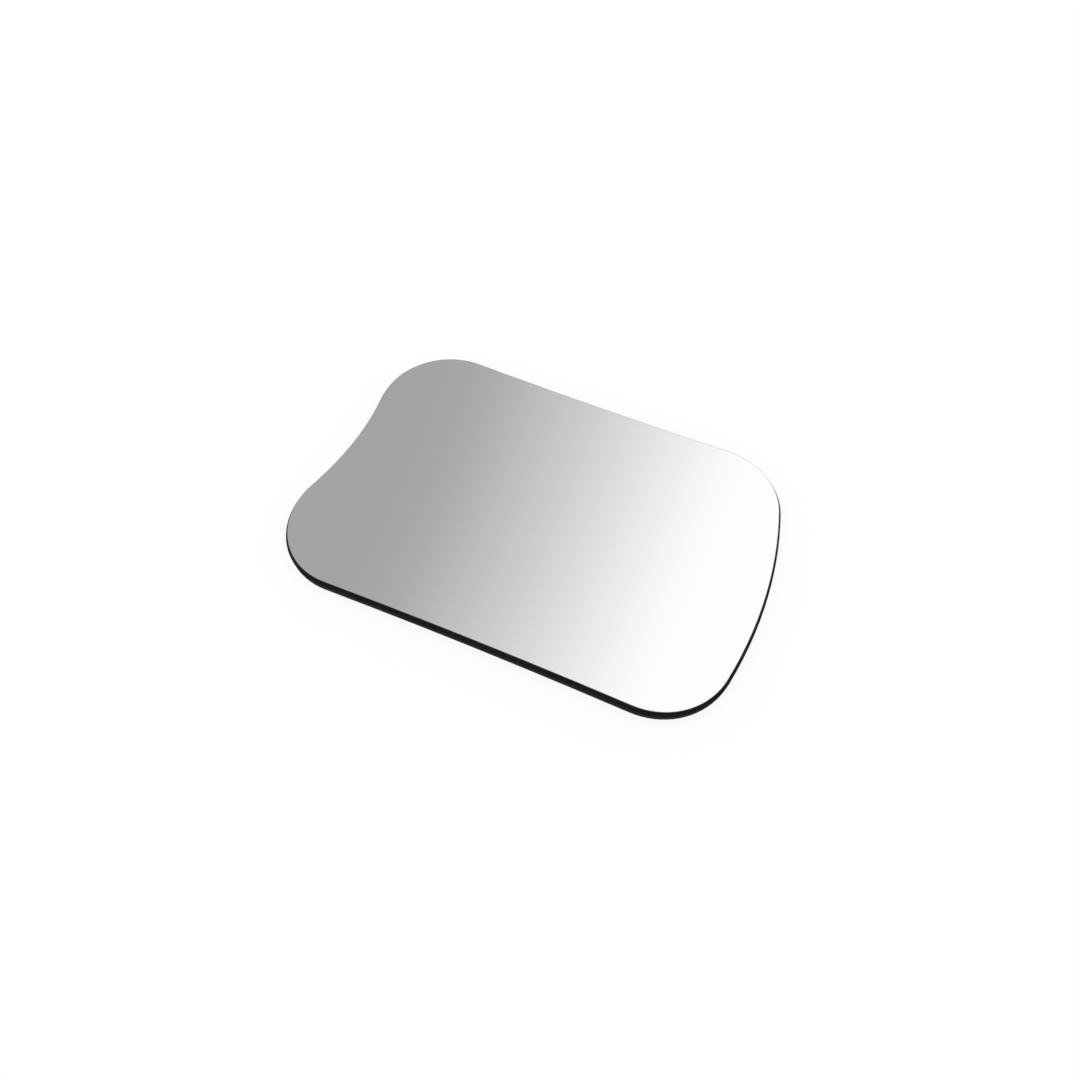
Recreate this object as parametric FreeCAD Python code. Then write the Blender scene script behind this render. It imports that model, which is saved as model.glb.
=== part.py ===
import FreeCAD, Part
import math
import os
from FreeCAD import Vector

# Occlusal photography mirror: one plate of front-surfaced glass that is laid in the mouth.
# It is seen from above as a long shield. The heel end, at -X, has two round lobes with a shallow
# hollow between them, the toe end, at +X, is one broad crown that reaches back to the last
# molars, and the long sides are drawn slightly in between the two.
# Millimetres, +Z up. The origin is under the middle of the plate's box, on the surface it lies on.

# Plan
LENGTH = 112.0
HEEL_WIDTH = 78.0
HEEL_LOBE_RADIUS = 18.5
HOLLOW_DEPTH = 2.2
TOE_WIDTH = 74.0
TOE_CORNER_RADIUS = 17.5
TOE_CROWN_RADIUS = 108.0
SIDE_RADIUS = 1650.0

# Edge section
GLASS_THICKNESS = 3.8
ARRIS_WIDTH = 0.7
ARRIS_DEPTH = 1.0
ARRIS_BLEND_RADIUS = 0.5

UP = Vector(0, 0, 1)
BULGING, HOLLOW = 1, -1


class Stretch:
    """One arc of the outline, with its circle's centre, and the plate inside or outside the circle."""

    def __init__(self, centre, start, end, form):
        self.centre, self.start, self.end, self.form = centre, start, end, form

    def outward(self, point):
        """Direction out of the plate at a point of the arc."""
        return (point - self.centre).normalize() * self.form

    def mirrored(self):
        """The same arc on the plate's other half, across its long axis."""
        points = [Vector(point.x, -point.y, 0) for point in (self.centre, self.start, self.end)]
        return Stretch(*points, self.form)

    def face_rim(self, height):
        """The arc in which a face of the plate ends, an arris in from the outline."""
        start, end = [point - self.outward(point) * ARRIS_WIDTH for point in (self.start, self.end)]
        middle = rim_point(self.centre, (start + end) * 0.5, (start - self.centre).Length)
        return Part.Arc(*[point + UP * height for point in (start, middle, end)]).toShape()

    def edge_faces(self):
        """The ground edge along this arc, its section turned about the circle's centre."""
        from_centre, to_centre = self.start - self.centre, self.end - self.centre
        turn = math.degrees(from_centre.getAngle(to_centre))
        axis = from_centre.cross(to_centre).normalize()
        section = edge_section(self.start, self.outward(self.start))
        return section.revolve(self.centre, axis, turn).Faces


def rim_point(centre, towards, radius):
    """Point of a circle's rim that lies towards another point."""
    return centre + (towards - centre).normalize() * radius


def common_centre(first, first_distance, second, second_distance):
    """Centre that lies the given distances from two others, on their left going to the second."""
    line = second - first
    span = line.Length
    along = (first_distance ** 2 - second_distance ** 2 + span ** 2) / (2 * span)
    aside = (first_distance ** 2 - along ** 2) ** 0.5
    line.normalize()
    return first + line * along + UP.cross(line) * aside


def outline():
    """The plan's eight arcs, each tangent to the next."""
    heel_lobe = Vector(HEEL_LOBE_RADIUS - LENGTH / 2, HEEL_WIDTH / 2 - HEEL_LOBE_RADIUS, 0)

    # The hollow's circle stands outside the heel and touches both lobes.
    lobe_setback = HEEL_LOBE_RADIUS - HOLLOW_DEPTH
    hollow_radius = (lobe_setback ** 2 + heel_lobe.y ** 2 - HEEL_LOBE_RADIUS ** 2) / (2 * HOLLOW_DEPTH)
    hollow = Vector(HOLLOW_DEPTH - LENGTH / 2 - hollow_radius, 0, 0)

    # The toe corners touch the crown's circle from inside.
    crown = Vector(LENGTH / 2 - TOE_CROWN_RADIUS, 0, 0)
    corner_y = TOE_WIDTH / 2 - TOE_CORNER_RADIUS
    corner_reach = ((TOE_CROWN_RADIUS - TOE_CORNER_RADIUS) ** 2 - corner_y ** 2) ** 0.5
    toe_corner = Vector(crown.x + corner_reach, corner_y, 0)

    # The side's circle stands outside the plate and touches the lobe and the toe corner.
    side = common_centre(heel_lobe, SIDE_RADIUS + HEEL_LOBE_RADIUS,
                         toe_corner, SIDE_RADIUS + TOE_CORNER_RADIUS)

    lobe_start = rim_point(hollow, heel_lobe, hollow_radius)
    side_start = rim_point(heel_lobe, side, HEEL_LOBE_RADIUS)
    side_end = rim_point(toe_corner, side, TOE_CORNER_RADIUS)
    crown_start = rim_point(crown, toe_corner, TOE_CROWN_RADIUS)

    half = [Stretch(heel_lobe, lobe_start, side_start, BULGING),
            Stretch(side, side_start, side_end, HOLLOW),
            Stretch(toe_corner, side_end, crown_start, BULGING)]
    other_half = [stretch.mirrored() for stretch in reversed(half)]
    toe = Stretch(crown, crown_start, other_half[0].end, BULGING)
    heel = Stretch(hollow, other_half[-1].start, lobe_start, HOLLOW)
    return half + [toe] + other_half + [heel]


def edge_section(rim, outward):
    """Section of the edge at a point of the outline: the upright ground wall, the steep arris
    seamed off above and below it, and the soft blends between wall and arrises."""
    def half(from_height, rise):
        def point(inset, distance):
            return rim - outward * inset + UP * (from_height + rise * distance)
        turn = math.atan2(ARRIS_WIDTH, ARRIS_DEPTH)
        reach = ARRIS_BLEND_RADIUS * math.tan(turn / 2)
        blend_inset = ARRIS_BLEND_RADIUS * (1 - math.cos(turn / 2))
        blend_middle = ARRIS_DEPTH + reach - ARRIS_BLEND_RADIUS * math.sin(turn / 2)
        return [point(ARRIS_WIDTH, 0),
                point(reach * math.sin(turn), ARRIS_DEPTH - reach * math.cos(turn)),
                point(blend_inset, blend_middle), point(0, ARRIS_DEPTH + reach)]

    below, above = half(0, 1), half(GLASS_THICKNESS, -1)
    parts = [Part.LineSegment(below[0], below[1]), Part.Arc(*below[1:]),
             Part.LineSegment(below[3], above[3]), Part.Arc(*above[1:]),
             Part.LineSegment(above[1], above[0])]
    return Part.Wire([part.toShape() for part in parts])


def mirror_plate():
    """The two mirror faces and the edge that runs round between them, closed to one solid."""
    stretches = outline()
    faces = [face for stretch in stretches for face in stretch.edge_faces()]
    for height in (0, GLASS_THICKNESS):
        faces.append(Part.Face(Part.Wire([stretch.face_rim(height) for stretch in stretches])))
    shell = Part.makeShell(faces)
    shell.sewShape()
    return Part.makeSolid(shell)


os.makedirs("parts", exist_ok=True)
mirror_plate().exportStep("parts/mirror_plate.step")
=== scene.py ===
import math

import bmesh
import bpy
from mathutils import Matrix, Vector


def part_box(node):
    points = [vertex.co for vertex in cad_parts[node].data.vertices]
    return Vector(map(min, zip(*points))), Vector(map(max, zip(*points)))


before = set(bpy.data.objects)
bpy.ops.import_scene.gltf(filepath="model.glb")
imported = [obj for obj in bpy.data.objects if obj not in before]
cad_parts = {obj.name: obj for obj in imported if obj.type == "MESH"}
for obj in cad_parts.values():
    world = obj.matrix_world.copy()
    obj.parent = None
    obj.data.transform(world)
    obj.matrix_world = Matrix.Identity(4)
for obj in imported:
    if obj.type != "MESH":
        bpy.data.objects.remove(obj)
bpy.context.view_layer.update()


# The camera stands over the plate's near side, turned toward the toe, with a wide lens
# close to the glass. The middle of the picture is a little off the middle of the plate.
MM = 0.001
VIEW_AZIMUTH = 24.3
VIEW_ELEVATION = 58.29
VIEW_DISTANCE = 148.1 * MM
LENS_MM = 21
AIM_TOWARD_TOE = 3.4 * MM
AIM_TOWARD_NEAR_SIDE = 8.1 * MM

plate_low, plate_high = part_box("mirror_plate")
aim = Vector((AIM_TOWARD_TOE, -AIM_TOWARD_NEAR_SIDE, plate_high.z))
azimuth, elevation = math.radians(VIEW_AZIMUTH), math.radians(VIEW_ELEVATION)
toward_camera = Vector((math.sin(azimuth) * math.cos(elevation),
                        -math.cos(azimuth) * math.cos(elevation),
                        math.sin(elevation)))

camera_data = bpy.data.cameras.new("camera")
camera_data.lens = LENS_MM
camera_data.clip_start = 1 * MM
camera = bpy.data.objects.new("camera", camera_data)
camera.location = aim + toward_camera * VIEW_DISTANCE
camera.rotation_euler = toward_camera.to_track_quat("Z", "Y").to_euler()
scene = bpy.context.scene
scene.collection.objects.link(camera)
scene.camera = camera


# The mirror plate is one piece of polished float glass. Both faces carry a vacuum-deposited
# metal coating under a hard oxide layer, so that the front surface itself reflects, and the
# edge is ground on a wet wheel, its arrises are seamed, and all of it is blackened.
COATING_COLOUR = "#FFFEFF"
COATING_TOLERANCE = 0.005 * MM
# The next three set a painted sheen: a grey line drawn along each face's rim in place of the arris's
# grazing highlight.
PAINTED_RIM_SHEEN_WIDTH = 0.2 * MM
PAINTED_RIM_SHEEN_SAMPLES = 8
PAINTED_RIM_SHEEN_COLOUR = "#8E9092"
FLAT_ENOUGH = 0.9995
WIPE_STREAK_LENGTH = 30 * MM
WIPE_STREAK_WIDTH = 0.8 * MM
WIPE_DIRECTION = 35
STREAKS_BEGIN, STREAKS_FULL = 0.45, 0.75
CLEAN_ROUGHNESS, STREAK_ROUGHNESS = 0.01, 0.035
GRIT_GRAIN = 0.15 * MM
GRINDING_LINE_PITCH = 0.25 * MM
GRINDING_LINE_LENGTH = 10 * MM
GRINDING_DEPTH = 0.015 * MM
BLACKENING_COLOUR = "#0E1114"
THIN_BLACKENING_COLOUR = "#1D2124"
THINNING_BEGINS, THINNING_FULL = 0.75, 1.25
LOW_GROUND, HIGH_GROUND = 0.7, 1.3
LOW_GROUND_ROUGHNESS, HIGH_GROUND_ROUGHNESS = 0.5, 0.7
EDGE_SPECULAR_LEVEL = 0.02


def linear(hex_colour):
    """An sRGB hex colour as the linear RGBA that the nodes take."""
    parts = [int(hex_colour[start:start + 2], 16) / 255 for start in (1, 3, 5)]
    return [p / 12.92 if p <= 0.04045 else ((p + 0.055) / 1.055) ** 2.4 for p in parts] + [1.0]


def add_node(tree, kind, inputs, output=0, **settings):
    """Adds a node and gives its output. An input is a plain value or the socket that feeds it.
    A Mix node takes numbers in its inputs 2 and 3, and colours in 6 and 7."""
    node = tree.nodes.new(kind)
    for name, value in settings.items():
        setattr(node, name, value)
    for name, value in inputs.items():
        if isinstance(value, bpy.types.NodeSocket):
            tree.links.new(value, node.inputs[name])
        else:
            node.inputs[name].default_value = value
    return None if output is None else node.outputs[output]


mirror_glass = bpy.data.materials.new("front_surface_mirror_glass")
mirror_glass.use_nodes = True
tree = mirror_glass.node_tree
shader = tree.nodes["Principled BSDF"]
place = add_node(tree, "ShaderNodeTexCoord", {}, "Object")

# The coating lies where the glass has its full thickness, on the two plane faces.
half_thickness = (plate_high.z - plate_low.z) / 2
height = add_node(tree, "ShaderNodeSeparateXYZ", {0: place}, "Z")
above_middle = add_node(tree, "ShaderNodeMath", {0: height, 1: plate_low.z + half_thickness},
                        operation="SUBTRACT")
off_middle = add_node(tree, "ShaderNodeMath", {0: above_middle}, operation="ABSOLUTE")
on_face = add_node(tree, "ShaderNodeMath", {0: off_middle, 1: half_thickness - COATING_TOLERANCE},
                   operation="GREATER_THAN")
off_face = add_node(tree, "ShaderNodeMath", {0: 1.0, 1: on_face}, operation="SUBTRACT")

# A hair-thin grey line is painted along the rim of each face, with the metal left off there: a painted
# sheen that stands in for the arris catching the light at a grazing angle. It is found as the strip
# where a normal rounded over its width leans outward.
rounded = add_node(tree, "ShaderNodeBevel", {"Radius": PAINTED_RIM_SHEEN_WIDTH}, samples=PAINTED_RIM_SHEEN_SAMPLES)
rounded_upright = add_node(tree, "ShaderNodeSeparateXYZ", {0: rounded}, "Z")
uprightness = add_node(tree, "ShaderNodeMath", {0: rounded_upright}, operation="ABSOLUTE")
inside_painted_sheen_rim = add_node(tree, "ShaderNodeMath", {0: uprightness, 1: FLAT_ENOUGH}, operation="GREATER_THAN")
coated_except_painted_rim = add_node(tree, "ShaderNodeMath", {0: on_face, 1: inside_painted_sheen_rim}, operation="MULTIPLY")

# A lens cloth leaves long faint streaks on the coating, seen only as a trace of haze.
wipe_place = add_node(tree, "ShaderNodeMapping", {
    "Vector": place, "Rotation": (0, 0, math.radians(WIPE_DIRECTION)),
    "Scale": (1 / WIPE_STREAK_LENGTH, 1 / WIPE_STREAK_WIDTH, 1)})
wipes = add_node(tree, "ShaderNodeTexNoise", {
    "Vector": wipe_place, "Scale": 1.0, "Detail": 3.0, "Distortion": 0.4})
coating_roughness = add_node(tree, "ShaderNodeMapRange", {
    "Value": wipes, "From Min": STREAKS_BEGIN, "From Max": STREAKS_FULL,
    "To Min": CLEAN_ROUGHNESS, "To Max": STREAK_ROUGHNESS})

# The wheel leaves a fine grit and lines that run along the edge, and on what stands up between
# them the blackening is thinner. Both are really finer than a tenth of a millimetre, and are
# drawn coarser so that they show.
line_place = add_node(tree, "ShaderNodeMapping", {
    "Vector": place,
    "Scale": (1 / GRINDING_LINE_LENGTH, 1 / GRINDING_LINE_LENGTH, 1 / GRINDING_LINE_PITCH)})
lines = add_node(tree, "ShaderNodeTexNoise", {"Vector": line_place, "Scale": 1.0, "Detail": 2.0})
grit = add_node(tree, "ShaderNodeTexNoise", {
    "Vector": place, "Scale": 1 / GRIT_GRAIN, "Detail": 3.0, "Roughness": 0.7})
ground = add_node(tree, "ShaderNodeMath", {0: grit, 1: lines}, operation="ADD")
thinning = add_node(tree, "ShaderNodeMapRange", {
    "Value": ground, "From Min": THINNING_BEGINS, "From Max": THINNING_FULL})
edge_colour = add_node(tree, "ShaderNodeMix", {
    0: thinning, 6: linear(BLACKENING_COLOUR), 7: linear(THIN_BLACKENING_COLOUR)}, 2, data_type="RGBA")
edge_roughness = add_node(tree, "ShaderNodeMapRange", {
    "Value": ground, "From Min": LOW_GROUND, "From Max": HIGH_GROUND,
    "To Min": LOW_GROUND_ROUGHNESS, "To Max": HIGH_GROUND_ROUGHNESS})
relief = add_node(tree, "ShaderNodeMath", {0: ground, 1: off_face}, operation="MULTIPLY")

# The faces take the coating's finish, their rims the painted grey sheen line, and the edge its
# blackening.
edge_and_painted_rim_colour = add_node(tree, "ShaderNodeMix", {
    0: on_face, 6: edge_colour, 7: linear(PAINTED_RIM_SHEEN_COLOUR)}, 2, data_type="RGBA")
colour = add_node(tree, "ShaderNodeMix", {
    0: coated_except_painted_rim, 6: edge_and_painted_rim_colour, 7: linear(COATING_COLOUR)}, 2, data_type="RGBA")
roughness = add_node(tree, "ShaderNodeMix", {0: coated_except_painted_rim, 2: edge_roughness, 3: coating_roughness})
normal = add_node(tree, "ShaderNodeBump", {"Height": relief, "Distance": GRINDING_DEPTH})
tree.links.new(colour, shader.inputs["Base Color"])
tree.links.new(coated_except_painted_rim, shader.inputs["Metallic"])
tree.links.new(roughness, shader.inputs["Roughness"])
tree.links.new(normal, shader.inputs["Normal"])
shader.inputs["Specular IOR Level"].default_value = EDGE_SPECULAR_LEVEL

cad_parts["mirror_plate"].material_slots[0].material = mirror_glass


# The floor is a plain white sheet that the plate lies on, with a hair's gap that keeps the two
# surfaces apart. It shows the camera and the glass mostly its own white, and keeps a light
# shadow round the plate.
FLOOR_RADIUS = 3000 * MM
FLOOR_GAP = 0.01 * MM
FLOOR_COLOUR = "#FFFFFF"
FLOOR_OWN_WHITE = 0.87

floor_form = bmesh.new()
bmesh.ops.create_circle(floor_form, cap_ends=True, segments=64, radius=FLOOR_RADIUS)
bmesh.ops.translate(floor_form, verts=floor_form.verts, vec=(0, 0, plate_low.z - FLOOR_GAP))
floor_mesh = bpy.data.meshes.new("floor")
floor_form.to_mesh(floor_mesh)
floor_form.free()
floor = bpy.data.objects.new("floor", floor_mesh)
scene.collection.objects.link(floor)

white_sheet = bpy.data.materials.new("white_sheet")
white_sheet.use_nodes = True
tree = white_sheet.node_tree
tree.nodes.remove(tree.nodes["Principled BSDF"])
seen = 0.0
for ray in ("Is Camera Ray", "Is Glossy Ray", "Is Transmission Ray"):
    is_ray = add_node(tree, "ShaderNodeLightPath", {}, ray)
    seen = add_node(tree, "ShaderNodeMath", {0: seen, 1: is_ray}, operation="MAXIMUM")
own_white = add_node(tree, "ShaderNodeMath", {0: seen, 1: FLOOR_OWN_WHITE}, operation="MULTIPLY")
lit = add_node(tree, "ShaderNodeBsdfDiffuse", {"Color": linear(FLOOR_COLOUR)})
glow = add_node(tree, "ShaderNodeEmission", {"Color": linear(FLOOR_COLOUR), "Strength": 1.0})
sheet_surface = add_node(tree, "ShaderNodeMixShader", {0: own_white, 1: lit, 2: glow})
tree.links.new(sheet_surface, tree.nodes["Material Output"].inputs["Surface"])
floor_mesh.materials.append(white_sheet)


# The studio is white all round and lights evenly. What the glass reflects of it goes by how far a
# direction leans to the toe: a grey card overhead beyond the heel that runs evenly into white, and
# paler walls far beyond heel and toe. All of it falls off to grey toward the floor.
STUDIO_WHITE = "#FFFFFF"
CARD_GREY = "#A5A3A5"
CARD_TURN = -3
REFLECTED_TONES = ((-0.95, "#E2E2E4"), (-0.62, CARD_GREY), (-0.465, CARD_GREY), (-0.4, "#ACAAAD"),
                   (-0.22, "#D3D1D4"), (-0.03, "#FBF9FC"), (0.03, STUDIO_WHITE), (0.25, STUDIO_WHITE),
                   (0.9, "#D8D8DA"))
WALL_TOP = 0.62
WALL_FOOT_LIGHT = 0.35

studio = bpy.data.worlds.new("studio")
studio.use_nodes = True
scene.world = studio
tree = studio.node_tree
tree.nodes.clear()
direction = add_node(tree, "ShaderNodeTexCoord", {}, "Generated")
card_axis = (math.cos(math.radians(CARD_TURN)), math.sin(math.radians(CARD_TURN)), 0)
toward_toe = add_node(tree, "ShaderNodeVectorMath", {0: direction, 1: card_axis}, "Value",
                      operation="DOT_PRODUCT")

# The ramp runs from 0 to 1 where the lean runs from -1 to 1.
along_ramp = add_node(tree, "ShaderNodeMath", {0: toward_toe, 1: 0.5, 2: 0.5},
                      operation="MULTIPLY_ADD")
cards = add_node(tree, "ShaderNodeValToRGB", {0: along_ramp})
ramp = cards.node.color_ramp
ramp.interpolation = "LINEAR"
ramp.elements.remove(ramp.elements[1])
for number, (lean, tone) in enumerate(REFLECTED_TONES):
    position = (lean + 1) / 2
    stop = ramp.elements.new(position) if number else ramp.elements[0]
    stop.position, stop.color = position, linear(tone)
upward = add_node(tree, "ShaderNodeSeparateXYZ", {0: direction}, "Z")
wall_light = add_node(tree, "ShaderNodeMapRange", {
    "Value": upward, "From Max": WALL_TOP, "To Min": WALL_FOOT_LIGHT}, interpolation_type="SMOOTHSTEP")

reflected = add_node(tree, "ShaderNodeBackground", {"Color": cards, "Strength": wall_light})
white = add_node(tree, "ShaderNodeBackground", {"Color": linear(STUDIO_WHITE), "Strength": 1.0})
in_glass = add_node(tree, "ShaderNodeLightPath", {}, "Is Glossy Ray")
mixed = add_node(tree, "ShaderNodeMixShader", {0: in_glass, 1: white, 2: reflected})
add_node(tree, "ShaderNodeOutputWorld", {"Surface": mixed}, None)

scene.view_settings.view_transform = "Standard"
